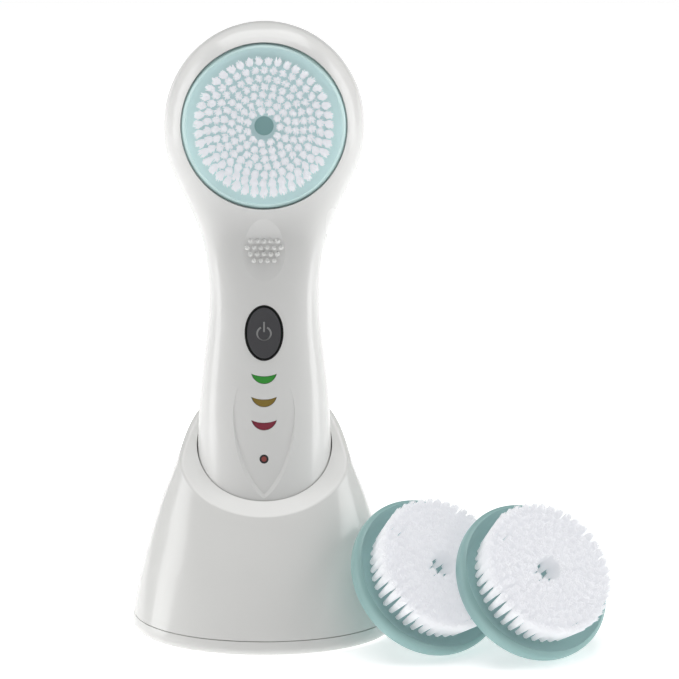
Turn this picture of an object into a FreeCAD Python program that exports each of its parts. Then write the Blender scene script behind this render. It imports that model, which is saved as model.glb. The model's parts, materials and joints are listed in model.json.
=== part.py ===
import FreeCAD, Part
import math
import os

# A rechargeable facial cleansing brush that stands in its charging cradle, with two spare brush heads.
#
# Units are millimetres. The frame has +Z up, +X to the right of someone facing the brush, and the brush
# faces -Y. The origin is the middle of the cradle's underside.
#
# Two working frames are used. The handle frame has its origin at the centre of the round head, +Z up the
# handle and -Y out of the brushing face. The front frame looks at the handle from the brushing side: X is
# shared, +Y is up the handle, and +Z is the height in front of the parting plane of the handle's shells.

Vector = FreeCAD.Vector
Placement = FreeCAD.Placement
Rotation = FreeCAD.Rotation

# ---------------------------------------------------------------- driving sizes: handle body
lean = 14.0                  # degrees that the parked handle leans back
axis_at_floor = -1.0         # where the handle's axis meets the floor, along Y
head_above_floor = 150.3     # from there to the head's centre, along the handle's axis

head_radius = 30.4           # half the head's width
head_rise = 31.4             # from the head's centre to its top
foot = -135.0                # lower end of the handle, in the handle frame
foot_rounding = 4.0
shell_wall = 2.0

# Stations down the handle: distance below the head's centre, half width, depth in front, depth behind,
# and squareness, which is how far the section bulges past an ellipse.
handle_stations = [
    (-12.0, 28.3, 14.1, 14.9, 0.2),
    (0.0, head_radius, 14.5, 15.0, 0.2),
    (12.0, 28.6, 13.9, 14.9, 0.2),
    (22.0, 24.0, 12.0, 14.8, 0.2),
    (33.0, 19.3, 10.3, 14.6, 0.2),
    (42.0, 17.4, 10.6, 14.5, 0.19),
    (53.0, 16.7, 11.6, 14.6, 0.17),
    (65.0, 17.6, 12.7, 15.1, 0.14),
    (82.0, 19.5, 14.0, 15.8, 0.08),
    (97.0, 20.2, 14.9, 15.8, 0.04),
    (112.0, 20.1, 15.1, 15.7, 0.03),
    (135.0, 19.3, 14.6, 15.2, 0.03),
]

# The handle's lower front stands a little proud of a tongue that narrows towards the foot.
collar_rise = 0.7
collar_from = 76.0           # below the head's centre
collar_full = 102.0
tongue_half_width = 11.6
tongue_tip = 110.8
tongue_start = 3.0           # below the start of the collar
tongue_edge = 1.3            # width of its sloping edge

# Dished thumb rest with soft nubs, below the head.
rest_centre = -37.2
rest_depth = 1.0
rest_radius = 7.4
nub_rows = (5, 6, 5, 4)
nub_pitch = 2.06
nub_row_pitch = 1.98
nub_top_row = -34.8
nub_radius = 0.76
nub_stand = 0.72

# ---------------------------------------------------------------- driving sizes: brush head and drive
dish_radius = 25.0
dish_gap = 0.3
dish_back = 5.4
dish_lip = 11.2
dish_floor = 8.8
dish_wall = 1.6
dish_back_inset = 0.8        # insets are measured from the dish's edge
lip_inset = 1.3              # of the lip's crest
valley_inset = 5.7
hub_radius = 5.0
hub_end = 4.7
hub_disc_radius = 2.9
hub_disc_sink = 0.6
socket_end = 7.9
drive_flat = 1.5             # half the distance across the flats of the shaft's end
drive_clearance = 0.3
bristle_foot_inset = 6.2
bristle_tip_inset = 3.6
bristle_hole_radius = 3.4
bristle_tip = 20.5
bristle_rounding = 0.9

seat_floor = 4.4
seat_wall = 1.6
seat_floor_wall = 2.0
shaft_radius = 2.0
shaft_clearance = 0.03
shaft_end = 7.6
bush_radius = 4.0
bush_length = 4.0
seal_radius = 4.6
seal_length = 1.0
boss_wall = 2.0
washer_thickness = 0.3

gear_module = 0.6
crown_teeth = 50
pinion_teeth = 10
crown_disc = 2.0
tooth_face = 3.2
tooth_addendum = 0.5
tooth_dedendum = 0.7
crown_tooth_width = 0.62     # at the pitch plane
pinion_tooth_width = 0.75    # at the pitch circle
flank_angle = 20.0
pinion_shaft_radius = 1.0
motor_gap = 3.0              # from the pinion to the gearhead
gearhead_length = 9.0
motor_length = 15.0
end_cap_length = 2.0
motor_half_width = 6.0
motor_half_depth = 5.0

# ---------------------------------------------------------------- driving sizes: controls and electronics
button_at = -62.5
button_half_width = 5.15
button_half_height = 7.65
button_travel = 0.5
button_stand = 0.45
button_clearance = 0.3
button_foot = 9.3            # height of the button's underside
button_seal_width = 0.45
guide_wall = 1.2             # of the sleeve round the seal
symbol_radius = 2.1
symbol_stroke = 0.55
symbol_depth = 0.15
symbol_bar = (0.5, 3.6)      # from the ring's centre
symbol_gap = 1.1             # half the width of the ring's opening

window_at = {"green": -76.3, "amber": -83.3, "red": -90.3}
window_half_width = 3.85
window_top_sag = 0.8
window_bottom_sag = 3.1
window_clearance = 0.12
window_sink = 0.15
window_depth = 4.0
window_flange = (5.0, 1.2, 3.0)   # half width, rise above and drop below the window's line
charge_light_at = -100.5
charge_bezel_radius = 1.36
charge_lens_radius = 0.78

board_top = -50.0
board_foot = -107.0
board_half_width = 11.0
board_front = 6.5            # height of its front face
board_thickness = 1.2
switch_size = 6.0
switch_height = 1.2
plunger_radius = 1.6
led_size = 2.0
led_height = 0.8
cell_radius = 7.1
cell_length = 48.0
cell_top = -67.5
cell_depth = 4.7             # its axis, behind the parting plane
contact_thickness = 0.5
tray_plate = 1.0
tray_gap = 0.3
tray_wall = 1.4
coil_outer = 10.5
coil_inner = 5.0
coil_height = 2.0
coil_lift = 2.0
ferrite_radius = 11.0
ferrite_height = 1.0

# Shell fasteners: places across and up the handle.
shell_screw_places = [(21.6, 6.0), (-21.6, 6.0), (12.4, -122.5), (-12.4, -122.5)]
post_radius = 2.8
post_meet = 4.0              # depth behind the parting plane at which the two shells' posts meet
screw_shank = 1.0
screw_head_radius = 1.9
screw_head_height = 1.5
screw_seat = 7.4
screw_tip = -1.9
counterbore_clearance = 0.25
seal_inset = 0.7
seal_band = 0.6
seal_half_depth = 0.4

# ---------------------------------------------------------------- driving sizes: charging cradle
# Levels of the cradle: height, half width, then the front, widest line and back along Y, and squareness.
cradle_levels = [
    (0.0, 39.9, -37.2, -8.0, 36.1, 0.02),
    (4.0, 39.6, -36.0, -7.2, 36.0, 0.02),
    (10.0, 38.7, -33.2, -5.2, 35.9, 0.02),
    (17.0, 37.2, -29.0, -2.8, 35.8, 0.02),
    (24.0, 35.3, -23.9, -0.2, 35.7, 0.03),
    (31.0, 33.0, -17.9, 2.4, 35.6, 0.03),
    (38.0, 30.4, -11.8, 5.0, 35.4, 0.04),
    (45.0, 27.4, -5.8, 7.6, 35.2, 0.05),
    (53.0, 24.7, -0.2, 10.6, 34.9, 0.06),
    (61.0, 23.3, 4.4, 13.8, 34.6, 0.07),
    (70.0, 22.4, 9.0, 17.4, 34.2, 0.08),
]
cradle_wall = 2.5
under_rounding = 3.0
rim_height = 44.6            # of the sloping rim's plane, where it crosses Y = 0
rim_slope = 31.4
rim_lip = 7.0                # depth of solid lip below the rim
rim_rounding = 2.0
socket_gap = 0.35
cup_wall = 1.6
cup_floor = 1.8
plate_seat = 4.8             # height of the parting line above the underside
plate_thickness = 2.0
plate_gap = 0.25
plate_ledge = 1.2
plate_ledge_rise = 1.2
pad_thickness = 0.9
pad_inset = 5.0
charger_board = (-16.0, -27.0, 16.0, -14.0)
charger_board_level = 7.0
charger_board_thickness = 1.6
charger_chip = (7.0, 5.0, 1.5)
charger_chips_at = (-9.0, 0.0, 9.0)
charger_feet = (14.0, 3.0, 1.8)      # half spacing across, distance in from the edges, radius
cradle_screw_places = [(24.0, 8.0), (-24.0, 8.0), (27.0, -17.0), (-27.0, -17.0)]
cradle_screw_seat = 2.9
cradle_screw_tip = 12.0
inlet_height = 14.0
inlet_half_width = 5.5
inlet_half_height = 4.8
inlet_depth = 10.2
inlet_bore = 2.8
inlet_pin = 1.0
inlet_bore_depth = 8.5
inlet_back = 33.4            # along Y
inlet_opening = 1.6          # wider than the bore all round

# ---------------------------------------------------------------- driving sizes: spare heads
spare_axis = Vector(0.46, -0.614, 0.641)
spare_centres = {1: (47.7, -20.3), 2: (79.1, -24.7)}
spare_floor_gap = 0.05

SECTION_POINTS = 48
FAR = 400.0
UP = Vector(0, 0, 1)

front_frame = Placement(Vector(), Rotation(Vector(1, 0, 0), 90))
lean_angle = math.radians(lean)
handle_place = Placement(
    Vector(0, axis_at_floor, 0) + head_above_floor * Vector(0, math.sin(lean_angle), math.cos(lean_angle)),
    Rotation(Vector(1, 0, 0), -lean),
)


# ---------------------------------------------------------------- small helpers
def moved(shape, place):
    copy = shape.copy()
    copy.Placement = place.multiply(copy.Placement)
    return copy


def fronted(shape):
    """From the front frame to the handle frame."""
    return moved(shape, front_frame)


def disc(radius, start, end, x=0.0, y=0.0):
    """Upright cylinder from z = start to z = end."""
    return Part.makeCylinder(radius, end - start, Vector(x, y, start))


def ring(outer, inner, start, end, x=0.0, y=0.0):
    return disc(outer, start, end, x, y).cut(disc(inner, start, end, x, y))


def block(low, high):
    low, high = Vector(*low), Vector(*high)
    size = high - low
    return Part.makeBox(size.x, size.y, size.z, low)


def oval(half_width, half_height, y, start, end):
    """Upright oval prism whose longer axis is along Y."""
    edge = Part.Ellipse(Vector(0, 0, start), half_height, half_width).toShape()
    prism = Part.Face(Part.Wire([edge])).extrude(Vector(0, 0, end - start))
    prism.rotate(Vector(), UP, 90)
    prism.translate(Vector(0, y, 0))
    return prism


def prism_of(edges, start, end):
    wire = Part.Wire(edges)
    face = Part.Face(wire)
    face.translate(Vector(0, 0, start))
    return face.extrude(Vector(0, 0, end - start))


def polygon(points):
    return Part.makePolygon([Vector(*p) for p in points + points[:1]]).Edges


def turned(edges):
    """Solid turned about Z from edges in the XZ plane."""
    return Part.Face(Part.Wire(edges)).revolve(Vector(), UP, 360)


def lines(*points):
    """Edges that join (radius, height) points in the XZ plane."""
    places = [Vector(r, 0, z) for r, z in points]
    return [Part.LineSegment(a, b).toShape() for a, b in zip(places, places[1:])]


def arc(start, middle, end):
    points = [Vector(r, 0, z) for r, z in (start, middle, end)]
    return Part.Arc(*points).toShape()


def closed_curve(points):
    curve = Part.BSplineCurve()
    steps = [float(i) for i in range(len(points) + 1)]
    curve.interpolate(Points=points, Parameters=steps, PeriodicFlag=True)
    return Part.Wire([curve.toShape()])


def graph(rows):
    """Smooth curves through rows of (parameter, values), as a function of the parameter."""
    places = [row[0] for row in rows]
    curves = []
    for column in range(1, len(rows[0])):
        curve = Part.BSplineCurve()
        curve.interpolate(Points=[Vector(row[0], row[column], 0) for row in rows], Parameters=places)
        curves.append(curve)
    return lambda at: [curve.value(at).y for curve in curves]


def section_point(angle, half_width, front, back, square):
    """A point of a section that is nearly elliptical: its front is towards -Y, its back towards +Y."""
    c, s = math.cos(angle), math.sin(angle)
    depth = front if s > 0 else back
    return half_width * c * (1 + square * s * s), -depth * s * (1 + square * c * c)


def loft(levels):
    """Solid through level sections (z, half width, front depth, back depth, offset along Y, squareness)."""
    wires = []
    for z, half_width, front, back, offset, square in levels:
        points = []
        for i in range(SECTION_POINTS):
            x, y = section_point(2 * math.pi * (i + 0.5) / SECTION_POINTS, half_width, front, back, square)
            points.append(Vector(x, y + offset, z))
        wires.append(closed_curve(points))
    return Part.makeLoft(wires, True)


# ---------------------------------------------------------------- handle body
handle_graph = graph(handle_stations)


def collar_height(below):
    share = min(1.0, max(0.0, (below - collar_from) / (collar_full - collar_from)))
    return collar_rise * share * share * (3 - 2 * share)


def handle_levels():
    """Sections from the foot to the top of the head: (z, half width, front, back, squareness)."""
    levels = []
    for degrees in (0, 22, 45, 67):
        turn = math.radians(degrees)
        z = foot + foot_rounding * (1 - math.cos(turn))
        shrink = foot_rounding * (1 - math.sin(turn))
        width, front, back, square = handle_graph(-z)
        levels.append([z, width - shrink, front - shrink, back - shrink, square])
    straight = 21
    first = foot + foot_rounding
    for i in range(straight):
        z = first * (1 - i / straight)
        levels.append([z] + handle_graph(-z))
    middle = handle_graph(0.0)
    square = middle[3]
    for degrees in (0, 11, 22, 33, 44, 55, 65, 73, 80, 85, 88.5):
        c, s = math.cos(math.radians(degrees)), math.sin(math.radians(degrees))
        share = s * (1 + square * c * c)
        depth = c * (1 + square * s * s)
        width = math.sqrt(max(0.0, 1 - share * share))
        levels.append([head_rise * share, middle[0] * width, middle[1] * depth, middle[2] * depth, square])
    return levels


def handle_solid(inset, with_collar):
    """The handle's closed outer form, moved inwards by inset."""
    middle = (head_rise + foot) / 2
    half = (head_rise - foot) / 2
    levels = []
    for z, width, front, back, square in handle_levels():
        shrink = min(inset, 0.3 * width, 0.3 * front)
        rise = collar_height(-z) if with_collar else 0.0
        level = middle + (z - middle) * (half - inset) / half
        levels.append((level, width - shrink, front + rise - shrink, back - shrink, 0.0, square))
    return loft(levels)


def front_height(x, z):
    """Height of the handle's front, without the collar, above the parting plane."""
    width, front, back, square = handle_graph(-z)
    low, high = 0.0, math.pi / 2
    for _ in range(30):
        middle = (low + high) / 2
        if section_point(middle, width, front, back, square)[0] > abs(x):
            low = middle
        else:
            high = middle
    return -section_point(low, width, front, back, square)[1]


def tongue_outline(grow, height):
    """Closed wire round the tongue, in the front frame."""
    sides = []
    for side in (1, -1):
        shoulder = Vector(side * (tongue_half_width + grow), -collar_from - tongue_start, height)
        waist = Vector(side * (0.88 * tongue_half_width + grow), -94.0, height)
        heel = Vector(side * (0.34 * tongue_half_width + 0.7 * grow), 2.2 - tongue_tip - 0.7 * grow, height)
        sides.append((shoulder, waist, heel))
    right, left = sides
    tip = Vector(0, -tongue_tip - grow, height)
    curve = Part.BSplineCurve()
    curve.interpolate([right[0], right[1], right[2], tip, left[2], left[1], left[0]])
    return Part.Wire([curve.toShape(), Part.LineSegment(left[0], right[0]).toShape()])


def tongue():
    """Block over the flat on the handle's front, wider outwards, in the front frame."""
    middle = front_height(0.0, -100.0)
    slope = tongue_edge / collar_rise
    wires = [tongue_outline(slope * rise, middle + rise) for rise in (-3.0, 3.0)]
    return Part.makeLoft(wires, True, True)


def handle_outside():
    plain = handle_solid(0.0, False)
    return handle_solid(0.0, True).cut(fronted(tongue()).cut(plain))


def rest_scoop():
    """Ball that hollows the thumb rest, in the front frame, and its centre's height and radius."""
    radius = (rest_radius ** 2 + rest_depth ** 2) / (2 * rest_depth)
    height = front_height(0.0, rest_centre) - rest_depth + radius
    return Part.makeSphere(radius, Vector(0, rest_centre, height)), height, radius


def nubs():
    ball, height, radius = rest_scoop()
    made = []
    for row, count in enumerate(nub_rows):
        y = nub_top_row - row * nub_row_pitch
        for i in range(count):
            x = (i - (count - 1) / 2) * nub_pitch
            floor = height - math.sqrt(radius ** 2 - x * x - (y - rest_centre) ** 2)
            floor = min(floor, front_height(x, y))
            made.append(Part.makeSphere(nub_radius, Vector(x, y, floor + nub_stand - nub_radius)))
    return made


def seat_pocket():
    pocket = disc(dish_radius + dish_gap, seat_floor, FAR)
    bush_bore = disc(bush_radius, seat_floor - seal_length - bush_length, seat_floor)
    return pocket.fuse([bush_bore, disc(seal_radius, seat_floor - seal_length, seat_floor)])


def seat_block():
    wall = disc(dish_radius + dish_gap + seat_wall, seat_floor - seat_floor_wall, 30.0)
    boss = disc(bush_radius + boss_wall, seat_floor - seal_length - bush_length, seat_floor)
    return wall.fuse(boss)


def button_hole(extra):
    return oval(button_half_width + extra, button_half_height + extra, button_at, 0.0, 30.0)


def crescent(y, shrink=0.0):
    """Prism of a smile-shaped window, in the front frame."""
    line = y + (window_top_sag + window_bottom_sag) / 2 - 0.4
    end = window_half_width - 2 * shrink
    left, right = Vector(-end, line - 0.5 * shrink, 0), Vector(end, line - 0.5 * shrink, 0)
    top = Part.Arc(left, Vector(0, line - window_top_sag - shrink, 0), right).toShape()
    bottom = Part.Arc(right, Vector(0, line - window_bottom_sag + shrink, 0), left).toShape()
    return prism_of([top, bottom], 0.0, 30.0)


def front_posts():
    """Posts of the front shell that take the screws, in the handle frame."""
    posts = []
    for x, z in shell_screw_places:
        behind_seat = z > 0
        start = seat_floor_wall / 2 - seat_floor if behind_seat else shell_wall / 2 - front_height(x, z)
        posts.append(Part.makeCylinder(post_radius, post_meet - start, Vector(x, start, z), Vector(0, 1, 0)))
    return posts


def screw_holes():
    holes = []
    for x, z in shell_screw_places:
        along = Vector(0, 1, 0)
        holes.append(Part.makeCylinder(screw_shank, screw_seat - screw_tip, Vector(x, screw_tip, z), along))
        wide = screw_head_radius + counterbore_clearance
        holes.append(Part.makeCylinder(wide, 30.0, Vector(x, screw_seat, z), along))
    return holes


def seal_track(forms):
    band = forms["seal outer"].cut(forms["seal inner"])
    return band.common(block((-FAR, -seal_half_depth, -FAR), (FAR, seal_half_depth, FAR)))


def front_shell(forms):
    before = block((-FAR, -FAR, -FAR), (FAR, 0, FAR))
    scoop = fronted(rest_scoop()[0])
    skin = forms["outside"].cut(scoop).cut(forms["inside"]).common(before)
    seat = fronted(seat_block()).common(forms["outside"])
    around = button_clearance + button_seal_width + guide_wall
    guide = oval(button_half_width + around, button_half_height + around, button_at, button_foot - 1.0, 30.0)
    guide = fronted(guide).common(forms["outside"])
    shell = skin.fuse([seat, guide] + front_posts())
    shell = shell.cut(fronted(seat_pocket()))
    holes = [fronted(button_hole(button_clearance + button_seal_width))]
    holes += [fronted(crescent(y)) for y in window_at.values()]
    holes.append(fronted(disc(charge_bezel_radius, 0.0, 30.0, 0, charge_light_at)))
    holes += screw_holes() + [forms["seal"]]
    shell = shell.cut(holes[0])
    for hole in holes[1:]:
        shell = shell.cut(hole)
    return shell.fuse([fronted(nub) for nub in nubs()])


def rear_shell(forms):
    behind = block((-FAR, 0, -FAR), (FAR, FAR, FAR))
    skin = forms["outside"].cut(forms["inside"]).common(behind)
    posts = []
    for x, z in shell_screw_places:
        posts.append(Part.makeCylinder(post_radius, 40.0, Vector(x, post_meet, z), Vector(0, 1, 0)))
    posts = [post.common(forms["outside"]) for post in posts]
    shell = skin.fuse(posts)
    for hole in screw_holes() + [forms["seal"]]:
        shell = shell.cut(hole)
    return shell


def shell_screws():
    screws = []
    along = Vector(0, 1, 0)
    for x, z in shell_screw_places:
        shank = Part.makeCylinder(screw_shank, screw_seat - screw_tip, Vector(x, screw_tip, z), along)
        head = Part.makeCylinder(screw_head_radius, screw_head_height, Vector(x, screw_seat, z), along)
        drive = Part.makeBox(0.5, 0.8, 2.4, Vector(x - 0.25, screw_seat + screw_head_height - 0.7, z - 1.2))
        cross = Part.makeBox(2.4, 0.8, 0.5, Vector(x - 1.2, screw_seat + screw_head_height - 0.7, z - 0.25))
        screws.append(shank.fuse(head).cut(drive).cut(cross))
    return screws


# ---------------------------------------------------------------- brush head, in the front frame
dish_back_radius = dish_radius - dish_back_inset
lip_radius = dish_radius - lip_inset
valley_radius = dish_radius - valley_inset
bristle_foot_radius = dish_radius - bristle_foot_inset
bristle_tip_radius = dish_radius - bristle_tip_inset


def dish():
    """Cap with a rounded lip and a concave valley, and a hub that takes the drive shaft."""
    side = dish_back_radius - dish_wall
    roof = dish_floor - dish_wall
    face = dish_floor - hub_disc_sink
    waist = (dish_radius, dish_lip - 2.3)
    crest = (lip_radius, dish_lip)
    rise = dish_lip - dish_floor
    edges = lines((0, face), (hub_disc_radius, face), (hub_disc_radius, dish_floor),
                  (valley_radius, dish_floor))
    valley_middle = (valley_radius + 0.6 * (lip_radius - valley_radius), dish_floor + 0.3 * rise)
    edges.append(arc((valley_radius, dish_floor), valley_middle, crest))
    edges.append(arc(crest, (dish_radius - 0.35, dish_lip - 0.85), waist))
    edges.append(arc(waist, (dish_radius - 0.2, (waist[1] + dish_back) / 2), (dish_back_radius, dish_back)))
    edges += lines((dish_back_radius, dish_back), (side, dish_back), (side, roof - 0.6), (side - 0.6, roof),
                   (hub_radius, roof), (hub_radius, hub_end), (0, hub_end), (0, face))
    body = turned(edges)
    return body.cut(drive_end(drive_clearance, hub_end, socket_end))


def drive_end(clearance, start, end):
    """The shaft's flatted end, grown by a clearance."""
    flat = drive_flat + clearance
    wide = shaft_radius + clearance
    return disc(wide, start, end).common(block((-wide, -flat, start), (wide, flat, end)))


def hub_disc():
    top = dish_floor - hub_disc_sink
    return disc(hub_disc_radius, top, dish_floor - hub_disc_sink / 2)


def bristles():
    """The field of tufts as one plain ring that flares towards the tips."""
    edges = lines((bristle_hole_radius, dish_floor), (bristle_foot_radius, dish_floor),
                  (bristle_tip_radius, bristle_tip - bristle_rounding))
    corner = bristle_tip_radius - bristle_rounding
    edges.append(arc((bristle_tip_radius, bristle_tip - bristle_rounding),
                     (bristle_tip_radius - 0.3 * bristle_rounding, bristle_tip - 0.3 * bristle_rounding),
                     (corner, bristle_tip)))
    edges += lines((corner, bristle_tip), (bristle_hole_radius, bristle_tip),
                   (bristle_hole_radius, dish_floor))
    return turned(edges)


# ---------------------------------------------------------------- drive, in the front frame
bush_start = seat_floor - seal_length - bush_length
gear_front = bush_start - washer_thickness - 0.05
gear_back = gear_front - crown_disc
pitch_plane = gear_back - tooth_dedendum
crown_radius = gear_module * crown_teeth / 2
pinion_radius = gear_module * pinion_teeth / 2
pinion_axis = pitch_plane - pinion_radius


def tooth_outline(width, addendum, dedendum):
    """Trapezoid that points along -Y from its pitch line at Y = 0."""
    spread = math.tan(math.radians(flank_angle))
    root = width / 2 + dedendum * spread
    tip = width / 2 - addendum * spread
    return [(-root, dedendum, 0), (root, dedendum, 0), (tip, -addendum, 0), (-tip, -addendum, 0)]


def crown_gear():
    """Face gear whose teeth point away from the brush."""
    outer = crown_radius + tooth_face / 2
    body = disc(outer, gear_back, gear_front).cut(disc(shaft_radius, gear_back, gear_front))
    outline = tooth_outline(crown_tooth_width, tooth_addendum, tooth_dedendum + 0.2)
    bar = prism_of(polygon(outline), crown_radius - tooth_face / 2, outer - 0.05)
    bar = moved(bar, Placement(Vector(), Rotation(Vector(1, 0, 0), 90)))
    bar = moved(bar, Placement(Vector(0, 0, pitch_plane), Rotation()))
    teeth = []
    for i in range(crown_teeth):
        tooth = bar.copy()
        tooth.rotate(Vector(), UP, 360.0 * i / crown_teeth)
        teeth.append(tooth)
    return body.fuse(teeth)


def output_shaft():
    start = gear_back - 0.6
    neck = seat_floor + 0.3
    shaft = disc(shaft_radius, start, neck).fuse(drive_end(0.0, neck, shaft_end))
    collar = ring(shaft_radius + 1.2, shaft_radius, start, gear_back)
    return shaft.fuse(collar)


def pinion():
    """Small spur gear on the motor's shaft, in the handle frame."""
    low = -crown_radius - tooth_face / 2
    root = pinion_radius - tooth_dedendum
    body = Part.makeCylinder(root, tooth_face, Vector(0, 0, low))
    outline = tooth_outline(pinion_tooth_width, tooth_addendum, tooth_dedendum + 0.3)
    bar = prism_of(polygon(outline), low, low + tooth_face)
    bar.translate(Vector(0, -pinion_radius, 0))
    teeth = []
    for i in range(pinion_teeth):
        tooth = bar.copy()
        tooth.rotate(Vector(), UP, 360.0 * (i + 0.5) / pinion_teeth)
        teeth.append(tooth)
    bore = Part.makeCylinder(pinion_shaft_radius, tooth_face, Vector(0, 0, low))
    gear = body.fuse(teeth).cut(bore)
    gear.translate(Vector(0, -pinion_axis, 0))
    return gear


gearhead_top = -crown_radius - tooth_face / 2 - motor_gap


def pinion_shaft():
    low = gearhead_top - 3.0
    high = -crown_radius + tooth_face / 2
    return Part.makeCylinder(pinion_shaft_radius, high - low, Vector(0, -pinion_axis, low))


def motor_slice(top, length, bore=0.0):
    """A length of the motor: a round can with two flats."""
    can = Part.makeCylinder(motor_half_width, length, Vector(0, -pinion_axis, top - length))
    flats = block((-motor_half_width, -pinion_axis - motor_half_depth, top - length),
                  (motor_half_width, -pinion_axis + motor_half_depth, top))
    can = can.common(flats)
    if bore:
        can = can.cut(Part.makeCylinder(bore, 3.2, Vector(0, -pinion_axis, top - 3.2)))
    return can


# ---------------------------------------------------------------- controls
def power_button(forms):
    cap = fronted(oval(button_half_width, button_half_height, button_at, button_foot, 30.0))
    cap = cap.common(forms["proud"])
    face = front_height(0.0, button_at) + button_stand
    depth = face - symbol_depth
    stroke = symbol_stroke / 2
    mark = ring(symbol_radius + stroke, symbol_radius - stroke, depth, 30.0, 0, button_at)
    mark = mark.cut(block((-symbol_gap, button_at, depth), (symbol_gap, button_at + 4.0, 30.0)))
    bar = block((-stroke, button_at + symbol_bar[0], depth), (stroke, button_at + symbol_bar[1], 30.0))
    return cap.cut(fronted(mark)).cut(fronted(bar))


def button_seal(forms):
    outer = oval(button_half_width + button_clearance + button_seal_width,
                 button_half_height + button_clearance + button_seal_width, button_at, button_foot - 1.0, 30.0)
    inner = oval(button_half_width + button_clearance, button_half_height + button_clearance,
                 button_at, button_foot - 1.0, 30.0)
    return fronted(outer.cut(inner)).common(forms["outside"])


def window(forms, y):
    """Light guide: a smile-shaped face, and a flange that bears on the shell from inside."""
    foot_height = front_height(0.0, y) - window_depth
    light = crescent(y, window_clearance).common(block((-20, -FAR, foot_height), (20, FAR, 30)))
    light = fronted(light).common(forms["outside"])
    light.translate(Vector(0, window_sink, 0))
    half, rise, drop = window_flange
    flange = fronted(block((-half, y - drop, foot_height - window_sink), (half, y + rise, 30)))
    return light.fuse(flange.common(forms["inside"]))


def charge_window(forms, radius, hole):
    top = front_height(0.0, charge_light_at) - window_depth
    body = disc(radius, top, 30.0, 0, charge_light_at)
    if hole:
        body = body.cut(disc(hole, top, 30.0, 0, charge_light_at))
    return fronted(body).common(forms["outside"])


def control_board():
    low = (-board_half_width, -board_front, board_foot)
    high = (board_half_width, -board_front + board_thickness, board_top)
    return block(low, high)


def tact_switch():
    half = switch_size / 2
    top = board_front + switch_height
    body = block((-half, button_at - half, board_front), (half, button_at + half, top))
    well = disc(plunger_radius + 0.3, board_front + 0.2, top, 0, button_at)
    return fronted(body.cut(well))


def switch_plunger():
    start = board_front + 0.2 + button_travel + 0.05
    return fronted(disc(plunger_radius, start, button_foot - 0.01, 0, button_at))


def indicator_leds():
    half = led_size / 2
    top = board_front + led_height
    places = list(window_at.values()) + [charge_light_at]
    return [fronted(block((-half, y - half, board_front), (half, y + half, top))) for y in places]


# ---------------------------------------------------------------- power in the handle
def battery_cell():
    return Part.makeCylinder(cell_radius, cell_length, Vector(0, cell_depth, cell_top - cell_length))


def battery_contacts():
    tabs = []
    for z in (cell_top, cell_top - cell_length - contact_thickness):
        tabs.append(block((-4.0, cell_depth - 4.0, z), (4.0, cell_depth + 4.0, z + contact_thickness)))
    return tabs


def tray():
    """Carrier between the board and the battery, with end walls for the contacts and a motor rest."""
    back = cell_depth - cell_radius - tray_gap
    front = back - tray_plate
    low = cell_top - cell_length - contact_thickness - tray_wall
    high = cell_top + contact_thickness + tray_wall
    plate = block((-board_half_width, front, low), (board_half_width, back, -48.0))
    ends = [block((-7.0, front, low), (7.0, 10.0, low + tray_wall)),
            block((-7.0, front, high - tray_wall), (7.0, 10.0, high))]
    pins = []
    for x in (-8.5, 8.5):
        for z in (-54.0, -103.0):
            pins.append(Part.makeCylinder(1.2, front + board_front - board_thickness,
                                          Vector(x, -board_front + board_thickness, z), Vector(0, 1, 0)))
    return plate.fuse(ends + pins)


def motor_mount():
    """Yoke that holds the motor to the rear shell, around its gearhead."""
    top = gearhead_top - 1.0
    low = gearhead_top - gearhead_length + 1.0
    yoke = block((-9.0, -pinion_axis - motor_half_depth - 1.4, low), (9.0, 12.0, top))
    return yoke.cut(motor_slice(gearhead_top, gearhead_length))


coil_floor = foot + shell_wall + coil_lift


def receiver_coil():
    return ring(coil_outer, coil_inner, coil_floor, coil_floor + coil_height)


def receiver_core():
    return disc(ferrite_radius, coil_floor + coil_height, coil_floor + coil_height + ferrite_height)


def coil_carrier(forms):
    """Plate at the foot of the handle that the coil lies on."""
    slab = block((-FAR, -FAR, coil_floor - 0.8), (FAR, FAR, coil_floor))
    return forms["inside"].common(slab)


# ---------------------------------------------------------------- charging cradle, in the object's frame
cradle_graph = graph(cradle_levels)


def cradle_form(inset):
    """The cradle's closed outer form, moved inwards by inset, with a rounded under-edge."""
    levels = []
    for degrees in (0, 25, 50, 72):
        turn = math.radians(degrees)
        levels.append((under_rounding * (1 - math.cos(turn)), under_rounding * (1 - math.sin(turn))))
    top = cradle_levels[-1][0]
    count = 16
    levels += [(under_rounding + (top - under_rounding) * i / count, 0.0) for i in range(count + 1)]
    sections = []
    for z, shrink in levels:
        width, front, middle, back, square = cradle_graph(z)
        shrink += inset
        sections.append((z, width - shrink, middle - front - shrink, back - middle - shrink, middle, square))
    return loft(sections)


def below_rim(drop):
    """Half space under the sloping rim's plane."""
    half = block((-FAR, -FAR, -FAR), (FAR, FAR, 0))
    place = Placement(Vector(0, 0, rim_height - drop / math.cos(math.radians(rim_slope))),
                      Rotation(Vector(1, 0, 0), rim_slope))
    return moved(half, place)


def above(z):
    return block((-FAR, -FAR, z), (FAR, FAR, FAR))


def level_slab(low, high):
    return block((-FAR, -FAR, low), (FAR, FAR, high))


def socket(forms):
    """The space that the handle stands in, down to its foot."""
    lower = block((-FAR, -FAR, foot), (FAR, FAR, 0))
    return moved(forms["socket"].common(lower), handle_place)


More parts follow.
